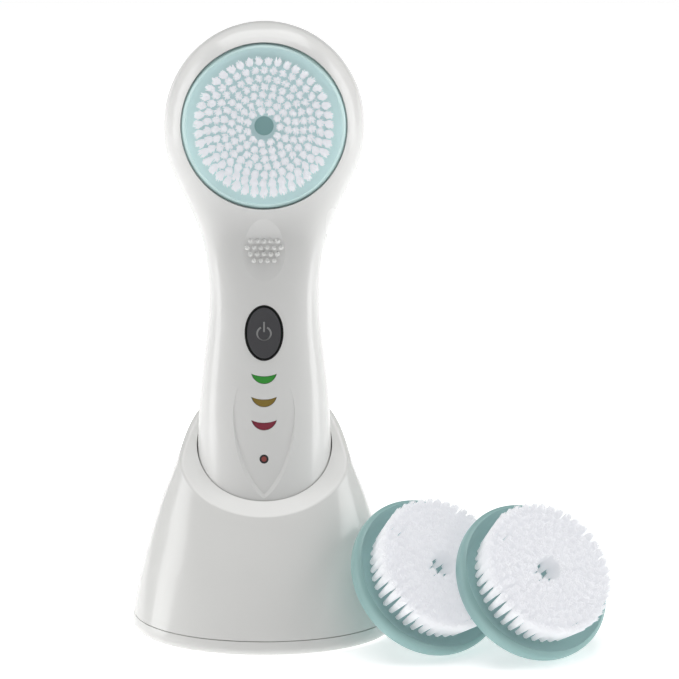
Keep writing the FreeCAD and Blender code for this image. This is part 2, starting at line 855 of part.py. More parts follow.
def cradle_shell(forms):
    body = forms["cradle"].common(below_rim(0.0))
    edge = [e for e in body.Edges if on_rim(e)]
    body = body.makeFillet(rim_rounding, edge)
    body = body.cut(forms["cradle hollow"]).cut(socket(forms)).common(above(plate_seat + plate_gap))
    x, z = inlet_half_width, inlet_half_height
    body = body.cut(block((-x, inlet_back - inlet_depth, inlet_height - z), (x, inlet_back, inlet_height + z)))
    opening = disc(inlet_bore + inlet_opening, 0.0, FAR)
    body = body.cut(moved(opening, Placement(Vector(0, inlet_back, inlet_height), front_frame.Rotation.inverted())))
    posts = [ring(post_radius, screw_shank, plate_seat, 40.0, x, y) for x, y in cradle_screw_places]
    posts = [post.common(forms["cradle"]).common(below_rim(rim_rounding)) for post in posts]
    return body.fuse([post.cut(moved(forms["cup"], handle_place)) for post in posts])


def on_rim(edge):
    """Whether an edge lies in the rim's plane."""
    slope = math.tan(math.radians(rim_slope))
    start, length = edge.FirstParameter, edge.LastParameter - edge.FirstParameter
    points = [edge.valueAt(start + length * k / 4) for k in range(5)]
    return all(abs(p.z - rim_height - slope * p.y) < 0.01 for p in points)


def cradle_cup(forms):
    lower = block((-FAR, -FAR, foot - cup_floor), (FAR, FAR, 0))
    cup = moved(forms["cup"].common(lower), handle_place).cut(socket(forms))
    return cup.common(forms["cradle hollow"])


def base_plate(forms):
    plate = forms["cradle"].common(level_slab(pad_thickness, plate_seat))
    ledge = forms["cradle hollow wide"].common(level_slab(plate_seat, plate_seat + plate_ledge_rise))
    inner = forms["cradle hollow narrow"]
    plate = plate.fuse(ledge.cut(inner)).cut(inner.common(above(pad_thickness + plate_thickness)))
    across, inset, radius = charger_feet
    middle = pad_thickness + plate_thickness / 2
    for x in (-across, across):
        for y in (charger_board[1] + inset, charger_board[3] - inset):
            plate = plate.fuse(disc(radius, middle, charger_board_level, x, y))
    for x, y in cradle_screw_places:
        plate = plate.fuse(disc(post_radius, middle, plate_seat, x, y))
        plate = plate.cut(disc(screw_shank, 0, 10.0, x, y))
        plate = plate.cut(disc(screw_head_radius + counterbore_clearance, 0, cradle_screw_seat, x, y))
    return plate


def non_slip_pad(forms):
    pad = forms["pad outline"].common(level_slab(0.0, pad_thickness))
    for x, y in cradle_screw_places:
        pad = pad.cut(disc(screw_head_radius + counterbore_clearance, -1.0, 2.0, x, y))
    return pad


def cradle_screws():
    screws = []
    for x, y in cradle_screw_places:
        shank = disc(screw_shank, cradle_screw_seat, cradle_screw_tip, x, y)
        low = cradle_screw_seat - screw_head_height
        head = disc(screw_head_radius, low, cradle_screw_seat, x, y)
        for w, h in ((0.25, 1.2), (1.2, 0.25)):
            head = head.cut(block((x - w, y - h, low), (x + w, y + h, low + 0.7)))
        screws.append(shank.fuse(head))
    return screws


def transmitter_coil():
    top = foot - cup_floor
    return ring(coil_outer, coil_inner, top - coil_height, top)


def transmitter_core():
    top = foot - cup_floor - coil_height
    return disc(ferrite_radius, top - ferrite_height, top)


def charger_circuit():
    x0, y0, x1, y1 = charger_board
    top = charger_board_level + charger_board_thickness
    board = block((x0, y0, charger_board_level), (x1, y1, top))
    width, depth, height = charger_chip
    y = (y0 + y1 - depth) / 2
    for x in charger_chips_at:
        board = board.fuse(block((x - width / 2, y, top), (x + width / 2, y + depth, top + height)))
    return board


def dc_inlet():
    x, z = inlet_half_width, inlet_half_height
    body = block((-x, inlet_back - inlet_depth, inlet_height - z), (x, inlet_back, inlet_height + z))
    floor = Vector(0, inlet_back - inlet_bore_depth, inlet_height)
    bore = Part.makeCylinder(inlet_bore, inlet_bore_depth, floor, Vector(0, 1, 0))
    pin = Part.makeCylinder(inlet_pin, inlet_bore_depth, floor, Vector(0, 1, 0))
    return body.cut(bore).fuse(pin)


# ---------------------------------------------------------------- spare heads
def spare_place(number):
    """Stands a spare head on the edge of its dish, facing along spare_axis."""
    axis = Vector(spare_axis)
    axis.normalize()
    x, y = spare_centres[number]
    z = dish_back_radius * math.sqrt(1 - axis.z ** 2) + spare_floor_gap
    origin = Vector(x, y, z) - axis * dish_back
    return Placement(origin, Rotation(UP, axis))


# ---------------------------------------------------------------- build
def write(name, shapes, place=None):
    shapes = shapes if isinstance(shapes, list) else [shapes]
    if place is not None:
        shapes = [moved(shape, place) for shape in shapes]
    solids = [solid for shape in shapes for solid in shape.Solids]
    shape = solids[0] if len(solids) == 1 else Part.makeCompound(solids)
    shape.exportStep("parts/" + name + ".step")
    print(name, len(solids), round(shape.Volume, 1), shape.isValid())


def shared_forms():
    forms = {"outside": handle_outside()}
    forms["inside"] = handle_solid(shell_wall, False)
    forms["proud"] = handle_solid(-button_stand, False)
    forms["seal outer"] = handle_solid(seal_inset, False)
    forms["seal inner"] = handle_solid(seal_inset + seal_band, False)
    forms["seal"] = seal_track(forms)
    forms["socket"] = handle_solid(-socket_gap, True)
    forms["cup"] = handle_solid(-socket_gap - cup_wall, True)
    forms["cradle"] = cradle_form(0.0)
    forms["cradle hollow"] = cradle_form(cradle_wall).common(below_rim(rim_lip))
    forms["cradle hollow wide"] = cradle_form(cradle_wall + 0.1)
    forms["cradle hollow narrow"] = cradle_form(cradle_wall + 0.1 + plate_ledge)
    forms["pad outline"] = cradle_form(pad_inset)
    return forms


def build_handle(forms):
    place = handle_place
    write("front_shell", front_shell(forms), place)
    write("rear_shell", rear_shell(forms), place)
    write("shell_seal", forms["seal"], place)
    write("shell_screws", shell_screws(), place)
    write("control_board", control_board(), place)
    write("tact_switch", tact_switch(), place)
    write("indicator_leds", indicator_leds(), place)
    for colour, y in window_at.items():
        write("led_window_" + colour, window(forms, y), place)
    write("charge_light_bezel", charge_window(forms, charge_bezel_radius, charge_lens_radius), place)
    write("charge_light_lens", charge_window(forms, charge_lens_radius, 0.0), place)
    write("button_seal", button_seal(forms), place)
    write("power_button", power_button(forms), place)
    write("switch_plunger", switch_plunger(), place)
    write("carrier_tray", tray(), place)
    write("battery_cell", battery_cell(), place)
    write("battery_contacts", battery_contacts(), place)
    write("motor_mount", motor_mount(), place)
    write("gearhead", motor_slice(gearhead_top, gearhead_length, pinion_shaft_radius + shaft_clearance), place)
    write("motor_can", motor_slice(gearhead_top - gearhead_length, motor_length), place)
    write("motor_end_cap", motor_slice(gearhead_top - gearhead_length - motor_length, end_cap_length), place)
    write("coil_carrier", coil_carrier(forms), place)
    write("receiver_coil", receiver_coil(), place)
    write("receiver_core", receiver_core(), place)


def build_drive():
    front = handle_place.multiply(front_frame)
    bore = shaft_radius + shaft_clearance
    write("drive_bush", ring(bush_radius, bore, bush_start, seat_floor - seal_length), front)
    write("shaft_seal", ring(seal_radius, bore, seat_floor - seal_length, seat_floor), front)
    write("thrust_washer", ring(bush_radius, bore, gear_front + 0.05, bush_start), front)
    write("crown_gear", crown_gear(), front)
    write("output_shaft", output_shaft(), front)
    write("pinion", pinion(), handle_place)
    write("pinion_shaft", pinion_shaft(), handle_place)


def build_heads():
    places = {"": handle_place.multiply(front_frame), "_1": spare_place(1), "_2": spare_place(2)}
    for suffix, place in places.items():
        name = "spare" + suffix if suffix else "head"
        write(name + "_dish", dish(), place)
        write(name + "_hub_disc", hub_disc(), place)
        write(name + "_bristles", bristles(), place)


def build_cradle(forms):
    write("cradle_shell", cradle_shell(forms))
    write("cradle_cup", cradle_cup(forms))
    write("base_plate", base_plate(forms))
    write("non_slip_pad", non_slip_pad(forms))
    write("cradle_screws", cradle_screws())
    write("transmitter_coil", transmitter_coil(), handle_place)
    write("transmitter_core", transmitter_core(), handle_place)
    write("charger_circuit", charger_circuit())
    write("dc_inlet", dc_inlet())


os.makedirs("parts", exist_ok=True)
shared = shared_forms()
build_heads()
build_drive()
build_cradle(shared)
build_handle(shared)
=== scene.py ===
import bmesh
import bpy
import json
import math
from mathutils import Matrix, Vector


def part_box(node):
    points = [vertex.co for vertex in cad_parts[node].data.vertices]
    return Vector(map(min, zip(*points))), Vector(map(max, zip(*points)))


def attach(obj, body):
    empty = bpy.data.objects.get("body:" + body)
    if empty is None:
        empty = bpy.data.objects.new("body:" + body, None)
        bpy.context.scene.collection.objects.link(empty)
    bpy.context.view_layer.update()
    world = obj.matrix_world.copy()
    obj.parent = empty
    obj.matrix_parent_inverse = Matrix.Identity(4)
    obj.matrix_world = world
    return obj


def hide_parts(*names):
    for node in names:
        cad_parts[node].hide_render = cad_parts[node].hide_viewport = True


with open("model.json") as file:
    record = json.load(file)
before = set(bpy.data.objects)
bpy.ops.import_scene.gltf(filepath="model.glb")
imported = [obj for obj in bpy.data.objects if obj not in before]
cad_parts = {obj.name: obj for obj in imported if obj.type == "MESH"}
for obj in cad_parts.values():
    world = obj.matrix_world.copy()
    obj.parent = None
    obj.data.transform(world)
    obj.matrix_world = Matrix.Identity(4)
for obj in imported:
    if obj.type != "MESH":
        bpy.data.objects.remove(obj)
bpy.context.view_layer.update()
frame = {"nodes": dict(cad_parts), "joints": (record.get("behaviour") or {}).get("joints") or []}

nodes = frame["nodes"]
joints = {joint["name"]: joint for joint in frame["joints"]}

# ---------------------------------------------------------------- place of the handle
# The parked handle leans back in its cradle. The head's centre and the handle's two main directions come
# from its joints: it lifts out along its own length, and the brush spins about the head's axis.
HEAD_CENTRE = Vector(joints["brush_spin"]["pos_m"])
UP_HANDLE = Vector(joints["handle_lift"]["axis"]).normalized()
OUT_OF_FACE = Vector(joints["brush_spin"]["axis"]).normalized()
ACROSS = UP_HANDLE.cross(OUT_OF_FACE).normalized()


def placed(right, up, out, origin):
    """Matrix whose X, Y and Z are the given directions."""
    turn = Matrix((right, up, out)).transposed().to_4x4()
    return Matrix.Translation(origin) @ turn


FRONT_OF_HANDLE = placed(ACROSS, UP_HANDLE, OUT_OF_FACE, HEAD_CENTRE)

# ---------------------------------------------------------------- camera
# A long lens looks down a little at the front, so that the cradle, handle and spare heads keep their
# true proportions.
VIEW_HEIGHT_ANGLE = math.radians(18.0)
VIEW_WIDTH = 0.2045
VIEW_DISTANCE = 2.5
SENSOR_WIDTH = 36.0
aim = Vector((0.0228, 0.0, 0.0888))
camera_data = bpy.data.cameras.new("studio_camera")
camera_data.sensor_width = SENSOR_WIDTH
camera_data.lens = SENSOR_WIDTH * VIEW_DISTANCE / VIEW_WIDTH
camera_data.clip_end = 20.0
camera = bpy.data.objects.new("studio_camera", camera_data)
backwards = Vector((0.0, -math.cos(VIEW_HEIGHT_ANGLE), math.sin(VIEW_HEIGHT_ANGLE)))
camera.location = aim + backwards * VIEW_DISTANCE
camera.rotation_euler = (math.pi / 2 - VIEW_HEIGHT_ANGLE, 0.0, 0.0)
bpy.context.scene.collection.objects.link(camera)
bpy.context.scene.camera = camera

# ---------------------------------------------------------------- floor and studio light
# A plain white floor, which glows a little so that it stays white, under a large overhead light. The
# surround is bright at the sides and dimmer elsewhere, as between two tall softboxes, so that round white
# forms read as round.
SURROUND_EDGES = (0.25, 0.95)
SURROUND_STRENGTHS = (1.1, 2.3)
OVERHEAD_POWER = 9.5
LEFT_POWER = 3.4
RIGHT_POWER = 3.6
FLOOR_REACH = 6.0
FLOOR_GLOW = 0.5
bpy.context.scene.view_settings.view_transform = "Standard"
world = bpy.data.worlds.new("pale_surround")
world.use_nodes = True
surround = world.node_tree
background = surround.nodes["Background"]
direction = surround.nodes.new("ShaderNodeTexCoord")
sideways = surround.nodes.new("ShaderNodeSeparateXYZ")
surround.links.new(direction.outputs["Generated"], sideways.inputs[0])
magnitude = surround.nodes.new("ShaderNodeMath")
magnitude.operation = "ABSOLUTE"
surround.links.new(sideways.outputs["X"], magnitude.inputs[0])
level = surround.nodes.new("ShaderNodeMapRange")
level.interpolation_type = "SMOOTHSTEP"
for end, edge, strength in zip(("Min", "Max"), SURROUND_EDGES, SURROUND_STRENGTHS):
    level.inputs["From " + end].default_value = edge
    level.inputs["To " + end].default_value = strength
surround.links.new(magnitude.outputs[0], level.inputs["Value"])
surround.links.new(level.outputs["Result"], background.inputs["Strength"])
bpy.context.scene.world = world


def soft_light(name, place, target, width, height, power):
    data = bpy.data.lights.new(name, "AREA")
    data.shape = "RECTANGLE"
    data.size = width
    data.size_y = height
    data.energy = power
    light = bpy.data.objects.new(name, data)
    light.location = place
    light.rotation_euler = (Vector(target) - Vector(place)).to_track_quat("-Z", "Y").to_euler()
    bpy.context.scene.collection.objects.link(light)


middle = (0.02, 0.0, 0.09)
soft_light("overhead_light", (0.0, 0.1, 1.2), middle, 1.2, 0.9, OVERHEAD_POWER)
soft_light("left_light", (-0.9, -0.05, 0.35), middle, 0.4, 0.9, LEFT_POWER)
soft_light("right_light", (0.9, -0.05, 0.35), middle, 0.4, 0.9, RIGHT_POWER)

floor_mesh = bpy.data.meshes.new("floor")
corners = [(x * FLOOR_REACH, y * FLOOR_REACH, 0) for x, y in ((-1, -1), (1, -1), (1, 1), (-1, 1))]
floor_mesh.from_pydata(corners, [], [(0, 1, 2, 3)])
floor = bpy.data.objects.new("floor", floor_mesh)
bpy.context.scene.collection.objects.link(floor)
floor_paint = bpy.data.materials.new("floor_paint")
floor_paint.use_nodes = True
floor_shader = floor_paint.node_tree.nodes["Principled BSDF"]
floor_shader.inputs["Base Color"].default_value = (0.93, 0.93, 0.93, 1.0)
floor_shader.inputs["Roughness"].default_value = 0.9
floor_shader.inputs["Emission Color"].default_value = (1.0, 1.0, 1.0, 1.0)
floor_shader.inputs["Emission Strength"].default_value = FLOOR_GLOW
floor_mesh.materials.append(floor_paint)


# ---------------------------------------------------------------- moulded shells
# The handle's two shells and the cradle are injection mouldings in pearl-white gloss plastic. Their skin
# has a faint orange peel and slightly uneven gloss.
def moulded_skin_group():
    """Fine waviness and uneven gloss of a moulding, as a height and a roughness."""
    group = bpy.data.node_groups.new("moulded_skin", "ShaderNodeTree")
    for name, value in (("Gloss", 0.25), ("Unevenness", 0.05), ("Grain Scale", 900.0), ("Wave Scale", 60.0)):
        socket = group.interface.new_socket(name, in_out="INPUT", socket_type="NodeSocketFloat")
        socket.default_value = value
    group.interface.new_socket("Roughness", in_out="OUTPUT", socket_type="NodeSocketFloat")
    group.interface.new_socket("Height", in_out="OUTPUT", socket_type="NodeSocketFloat")
    inside = group.nodes
    entry = inside.new("NodeGroupInput")
    leave = inside.new("NodeGroupOutput")
    place = inside.new("ShaderNodeTexCoord")
    wave = inside.new("ShaderNodeTexNoise")
    wave.inputs["Detail"].default_value = 2.0
    grain = inside.new("ShaderNodeTexNoise")
    grain.inputs["Detail"].default_value = 3.0
    link = group.links.new
    link(place.outputs["Object"], wave.inputs["Vector"])
    link(place.outputs["Object"], grain.inputs["Vector"])
    link(entry.outputs["Wave Scale"], wave.inputs["Scale"])
    link(entry.outputs["Grain Scale"], grain.inputs["Scale"])
    centred = inside.new("ShaderNodeMath")
    centred.operation = "SUBTRACT"
    centred.inputs[1].default_value = 0.5
    link(wave.outputs["Fac"], centred.inputs[0])
    rough = inside.new("ShaderNodeMath")
    rough.operation = "MULTIPLY_ADD"
    link(centred.outputs[0], rough.inputs[0])
    link(entry.outputs["Unevenness"], rough.inputs[1])
    link(entry.outputs["Gloss"], rough.inputs[2])
    link(rough.outputs[0], leave.inputs["Roughness"])
    link(grain.outputs["Fac"], leave.inputs["Height"])
    return group


moulded_skin = moulded_skin_group()


DARKEST_TONE = 0.975


def plastic(name, colour, gloss, unevenness=0.06, bump=0.02, coat=0.0):
    """Moulded plastic: colour with a slight tone change, gloss from the shared skin, and a fine bump."""
    material = bpy.data.materials.new(name)
    material.use_nodes = True
    tree = material.node_tree
    shader = tree.nodes["Principled BSDF"]
    link = tree.links.new
    skin = tree.nodes.new("ShaderNodeGroup")
    skin.node_tree = moulded_skin
    skin.inputs["Gloss"].default_value = gloss
    skin.inputs["Unevenness"].default_value = unevenness
    link(skin.outputs["Roughness"], shader.inputs["Roughness"])
    bump_node = tree.nodes.new("ShaderNodeBump")
    bump_node.inputs["Strength"].default_value = bump
    bump_node.inputs["Distance"].default_value = 0.0002
    link(skin.outputs["Height"], bump_node.inputs["Height"])
    link(bump_node.outputs["Normal"], shader.inputs["Normal"])
    place = tree.nodes.new("ShaderNodeTexCoord")
    tone = tree.nodes.new("ShaderNodeTexNoise")
    tone.inputs["Scale"].default_value = 25.0
    link(place.outputs["Object"], tone.inputs["Vector"])
    ramp = tree.nodes.new("ShaderNodeValToRGB")
    ramp.color_ramp.elements[0].position = 0.3
    ramp.color_ramp.elements[1].position = 0.7
    ramp.color_ramp.elements[0].color = tuple(c * DARKEST_TONE for c in colour) + (1.0,)
    ramp.color_ramp.elements[1].color = tuple(colour) + (1.0,)
    link(tone.outputs["Fac"], ramp.inputs["Fac"])
    link(ramp.outputs["Color"], shader.inputs["Base Color"])
    shader.inputs["Coat Weight"].default_value = coat
    shader.inputs["Coat Roughness"].default_value = 0.08
    return material


def finish(material, *names):
    """Gives CAD nodes a material."""
    for name in names:
        for slot in nodes[name].material_slots:
            slot.material = material


pearl_plastic = plastic("pearl_plastic", (0.87, 0.87, 0.855), 0.26, 0.08, coat=0.35)
cradle_plastic = plastic("cradle_plastic", (0.88, 0.88, 0.86), 0.24, 0.08, coat=0.35)
finish(pearl_plastic, "front_shell", "rear_shell")
finish(cradle_plastic, "cradle_shell", "cradle_cup", "base_plate")

# ---------------------------------------------------------------- brush dishes
# Each brush head is clipped into a semi-gloss teal cap with a rounded lip, a concave valley and a flat disc
# over its hub, painted a darker teal as the shade in its pit. The spare heads' caps are the same teal,
# painted darker than the working one's as shade.
teal_plastic = plastic("teal_plastic", (0.68, 0.90, 0.89), 0.38, 0.06, bump=0.03)
# The spare caps' teal is the working cap's teal darkened: painted shade.
shaded_teal_plastic = plastic("shaded_teal_plastic", (0.31, 0.505, 0.495), 0.38, 0.06, bump=0.03)
# The hub discs are the dish's teal darkened: painted shade of the pit they sit in.
teal_disc = plastic("teal_disc", (0.33, 0.56, 0.54), 0.5, 0.05, bump=0.03)
finish(teal_plastic, "head_dish")
finish(shaded_teal_plastic, "spare_1_dish", "spare_2_dish")
finish(teal_disc, "head_hub_disc", "spare_1_hub_disc", "spare_2_hub_disc")

# ---------------------------------------------------------------- splash lip
# A soft pale elastomer ring lies in the seat around the working dish. It closes most of the running gap
# and is bonded to the front shell.
LIP_INNER = 0.02502
LIP_OUTER = 0.02528
LIP_FRONT = 0.0098
LIP_BACK = 0.0090
LIP_STEPS = 192


def turned_ring(name, corners, steps, material):
    """Closed ring turned about the head's axis from corners of (radius, height)."""
    points, faces = [], []
    for i in range(steps):
        angle = 2 * math.pi * i / steps
        for radius, height in corners:
            spot = Vector((radius * math.cos(angle), radius * math.sin(angle), height))
            points.append(FRONT_OF_HANDLE @ spot)
    count = len(corners)
    for i in range(steps):
        a, b = count * i, count * ((i + 1) % steps)
        faces += [(a + k, b + k, b + (k + 1) % count, a + (k + 1) % count) for k in range(count)]
    mesh = bpy.data.meshes.new(name)
    mesh.from_pydata(points, [], faces)
    mesh.materials.append(material)
    mesh.shade_smooth()
    piece = bpy.data.objects.new(name, mesh)
    bpy.context.scene.collection.objects.link(piece)
    return piece


lip_corners = ((LIP_INNER, LIP_BACK), (LIP_OUTER, LIP_BACK), (LIP_OUTER, LIP_FRONT), (LIP_INNER, LIP_FRONT))
lip_rubber = plastic("lip_rubber", (0.62, 0.70, 0.69), 0.6, bump=0.05)
lip = turned_ring("splash_lip", lip_corners, LIP_STEPS, lip_rubber)
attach(lip, "handle")

# ---------------------------------------------------------------- bristles
# Rings of tufts around a bare hub. Each tuft is a bundle of fine nylon filaments that spread at the tip,
# and the outer tufts lean outwards. One field is grown and placed on all three heads.
BRISTLE_FOOT = 0.0088         # along the head's axis
BRISTLE_TIP = 0.0204
FIRST_RING = 0.0050
RING_PITCH = 0.00232
RINGS = 7
TUFT_PITCH = 0.00275
FILAMENTS = 80
TUFT_RADIUS = 0.00070
FILAMENT_RADIUS = 0.00012
TUFT_LEAN = 0.11              # of the outermost ring, outwards per unit of height
LEAN_POWER = 4.0              # how fast the lean grows from the middle to the outermost ring
TUFT_SPREAD = 0.052
FILAMENT_JITTER = 0.03
RING_TURN = 1.37              # radians from one ring to the next
BRISTLE_SEED = 7
SHORTEST = 0.94               # of the full length
TIP_DOMING = 0.05             # of the full length, lost at the edge of a tuft
TIP_TAPER = 0.8               # radius of a filament at its tip, of that at its foot
FOOT_ABOVE_DISC = 0.00045     # of the spare heads


def bristle_tree(material):
    tree = bpy.data.node_groups.new("bristle_field", "GeometryNodeTree")
    face = tree.interface
    face.new_socket("Geometry", in_out="INPUT", socket_type="NodeSocketGeometry")
    sizes = (
        ("First Ring", "NodeSocketFloat", FIRST_RING),
        ("Ring Pitch", "NodeSocketFloat", RING_PITCH),
        ("Rings", "NodeSocketInt", RINGS),
        ("Tuft Pitch", "NodeSocketFloat", TUFT_PITCH),
        ("Tuft Radius", "NodeSocketFloat", TUFT_RADIUS),
        ("Filaments", "NodeSocketInt", FILAMENTS),
        ("Filament Radius", "NodeSocketFloat", FILAMENT_RADIUS),
        ("Length", "NodeSocketFloat", BRISTLE_TIP - BRISTLE_FOOT),
        ("Lean", "NodeSocketFloat", TUFT_LEAN),
        ("Spread", "NodeSocketFloat", TUFT_SPREAD),
        ("Seed", "NodeSocketInt", BRISTLE_SEED),
    )
    for name, kind, value in sizes:
        face.new_socket(name, in_out="INPUT", socket_type=kind).default_value = value
    face.new_socket("Geometry", in_out="OUTPUT", socket_type="NodeSocketGeometry")
    new = tree.nodes.new
    link = tree.links.new
    entry = new("NodeGroupInput").outputs
    leave = new("NodeGroupOutput")

    def calc(operation, a, b=0.0, c=0.0):
        node = new("ShaderNodeMath")
        node.operation = operation
        for socket, value in zip(node.inputs, (a, b, c)):
            if isinstance(value, (int, float)):
                socket.default_value = value
            else:
                link(value, socket)
        return node.outputs[0]

    def vector(operation, a, b=None, scale=None):
        node = new("ShaderNodeVectorMath")
        node.operation = operation
        link(a, node.inputs[0])
        if b is not None:
            link(b, node.inputs[1])
        if scale is not None:
            link(scale, node.inputs["Scale"])
        return node.outputs[0]

    def chance(low, high, salt):
        node = new("FunctionNodeRandomValue")
        node.data_type = "FLOAT"
        node.inputs[2].default_value = low
        node.inputs[3].default_value = high
        link(calc("ADD", entry["Seed"], float(salt)), node.inputs["Seed"])
        return node.outputs[1]

    # Rings of tuft places, one ring each time round.
    begin = new("GeometryNodeRepeatInput")
    end = new("GeometryNodeRepeatOutput")
    begin.pair_with_output(end)
    end.repeat_items.clear()
    end.repeat_items.new("GEOMETRY", "Places")
    link(entry["Rings"], begin.inputs["Iterations"])
    turn_count = begin.outputs["Iteration"]
    radius = calc("MULTIPLY_ADD", turn_count, entry["Ring Pitch"], entry["First Ring"])
    around = calc("ROUND", calc("DIVIDE", calc("MULTIPLY", radius, 2 * math.pi), entry["Tuft Pitch"]))
    circle = new("GeometryNodeMeshCircle")
    link(around, circle.inputs["Vertices"])
    link(radius, circle.inputs["Radius"])
    shift = new("GeometryNodeTransform")
    turn = new("ShaderNodeCombineXYZ")
    link(calc("MULTIPLY", turn_count, RING_TURN), turn.inputs["Z"])
    link(turn.outputs[0], shift.inputs["Rotation"])
    link(circle.outputs["Mesh"], shift.inputs["Geometry"])
    join = new("GeometryNodeJoinGeometry")
    link(shift.outputs[0], join.inputs[0])
    link(begin.outputs["Places"], join.inputs[0])
    link(join.outputs[0], end.inputs["Places"])
    tufts = new("GeometryNodeMeshToPoints")
    link(end.outputs["Places"], tufts.inputs["Mesh"])

    # Every tuft keeps its own place, and is copied once for each filament.
    keep = new("GeometryNodeStoreNamedAttribute")
    keep.data_type = "FLOAT_VECTOR"
    keep.domain = "POINT"
    keep.inputs["Name"].default_value = "tuft_place"
    where = new("GeometryNodeInputPosition").outputs[0]
    link(tufts.outputs[0], keep.inputs["Geometry"])
    link(where, keep.inputs["Value"])
    copies = new("GeometryNodeDuplicateElements")
    copies.domain = "POINT"
    link(keep.outputs["Geometry"], copies.inputs["Geometry"])
    link(entry["Filaments"], copies.inputs["Amount"])

    # A filament stands at a random spot in its tuft and leans out from the tuft's middle.
    turn_by = chance(0.0, 2 * math.pi, 1)
    out_by = calc("SQRT", chance(0.0, 1.0, 2))
    spot = new("ShaderNodeCombineXYZ")
    link(calc("MULTIPLY", calc("COSINE", turn_by), out_by), spot.inputs["X"])
    link(calc("MULTIPLY", calc("SINE", turn_by), out_by), spot.inputs["Y"])
    offset = vector("SCALE", spot.outputs[0], scale=entry["Tuft Radius"])
    stand = new("GeometryNodeSetPosition")
    link(copies.outputs["Geometry"], stand.inputs["Geometry"])
    link(offset, stand.inputs["Offset"])
    tuft_place = new("GeometryNodeInputNamedAttribute")
    tuft_place.data_type = "FLOAT_VECTOR"
    tuft_place.inputs["Name"].default_value = "tuft_place"
    place = tuft_place.outputs["Attribute"]
    reach = vector("LENGTH", place).node.outputs["Value"]
    outer = calc("MULTIPLY", entry["Ring Pitch"], calc("SUBTRACT", entry["Rings"], 1.0))
    share = calc("DIVIDE", reach, calc("ADD", outer, entry["First Ring"]))
    share = calc("POWER", share, LEAN_POWER)
    lean = vector("SCALE", vector("NORMALIZE", place), scale=calc("MULTIPLY", share, entry["Lean"]))
    jitter = new("FunctionNodeRandomValue")
    jitter.data_type = "FLOAT_VECTOR"
    jitter.inputs[0].default_value = (-FILAMENT_JITTER, -FILAMENT_JITTER, 0.0)
    jitter.inputs[1].default_value = (FILAMENT_JITTER, FILAMENT_JITTER, 0.0)
    spread = vector("SCALE", spot.outputs[0], scale=entry["Spread"])
    upright = new("ShaderNodeCombineXYZ")
    upright.inputs["Z"].default_value = 1.0
    total = vector("ADD", vector("ADD", upright.outputs[0], lean), vector("ADD", spread, jitter.outputs[0]))
    aim_at = new("FunctionNodeAlignRotationToVector")
    aim_at.axis = "Z"
    link(total, aim_at.inputs["Vector"])

    # One filament: a thin three-sided spike with its foot at its origin.
    spike = new("GeometryNodeMeshCone")
    spike.fill_type = "NGON"
    spike.inputs["Vertices"].default_value = 3
    spike.inputs["Side Segments"].default_value = 1
    link(calc("MULTIPLY", entry["Filament Radius"], TIP_TAPER), spike.inputs["Radius Top"])
    link(entry["Filament Radius"], spike.inputs["Radius Bottom"])
    link(entry["Length"], spike.inputs["Depth"])
    field = new("GeometryNodeInstanceOnPoints")
    link(stand.outputs[0], field.inputs["Points"])
    link(spike.outputs["Mesh"], field.inputs["Instance"])
    link(aim_at.outputs[0], field.inputs["Rotation"])
    stretch = new("ShaderNodeCombineXYZ")
    stretch.inputs["X"].default_value = 1.0
    stretch.inputs["Y"].default_value = 1.0
    doming = calc("MULTIPLY", calc("MULTIPLY", out_by, out_by), TIP_DOMING)
    link(calc("SUBTRACT", chance(SHORTEST, 1.0, 3), doming), stretch.inputs["Z"])
    link(stretch.outputs[0], field.inputs["Scale"])
    solid = new("GeometryNodeRealizeInstances")
    link(field.outputs[0], solid.inputs[0])
    paint = new("GeometryNodeSetMaterial")
    paint.inputs["Material"].default_value = material
    link(solid.outputs[0], paint.inputs["Geometry"])
    link(paint.outputs[0], leave.inputs[0])
    return tree


def nylon(name):
    """White nylon with a slight tone change, and a faint painted glow that lightens the shade inside the
    tufts.
    """
    material = bpy.data.materials.new(name)
    material.use_nodes = True
    tree = material.node_tree
    shader = tree.nodes["Principled BSDF"]
    place = tree.nodes.new("ShaderNodeTexCoord")
    noise = tree.nodes.new("ShaderNodeTexNoise")
    noise.inputs["Scale"].default_value = 400.0
    ramp = tree.nodes.new("ShaderNodeValToRGB")
    ramp.color_ramp.elements[0].color = (0.84, 0.845, 0.865, 1.0)
    ramp.color_ramp.elements[1].color = (0.96, 0.96, 0.965, 1.0)
    tree.links.new(place.outputs["Object"], noise.inputs["Vector"])
    tree.links.new(noise.outputs["Fac"], ramp.inputs["Fac"])
    tree.links.new(ramp.outputs["Color"], shader.inputs["Base Color"])
    shader.inputs["Roughness"].default_value = 0.45
    # The emission is painted light: it brightens the shaded insides of the tufts.
    shader.inputs["Emission Color"].default_value = (0.96, 0.97, 1.0, 1.0)
    shader.inputs["Emission Strength"].default_value = 0.16
    return material


bristle_nylon = nylon("bristle_nylon")
seed_mesh = bpy.data.meshes.new("bristle_seed")
seed_object = bpy.data.objects.new("bristle_seed", seed_mesh)
bpy.context.scene.collection.objects.link(seed_object)
grow = seed_object.modifiers.new("bristle_field", "NODES")
grow.node_group = bristle_tree(bristle_nylon)
depsgraph = bpy.context.evaluated_depsgraph_get()
grown = bpy.data.meshes.new_from_object(seed_object.evaluated_get(depsgraph))
bpy.data.objects.remove(seed_object)

SPARE_AXIS = Vector(joints["spare_2_take"]["axis"]).normalized()


def above_disc(node):
    """Foot of a spare head's bristles, just above the middle of its hub disc."""
    low, high = (Vector(corner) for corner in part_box(node))
    return (low + high) / 2 + SPARE_AXIS * FOOT_ABOVE_DISC


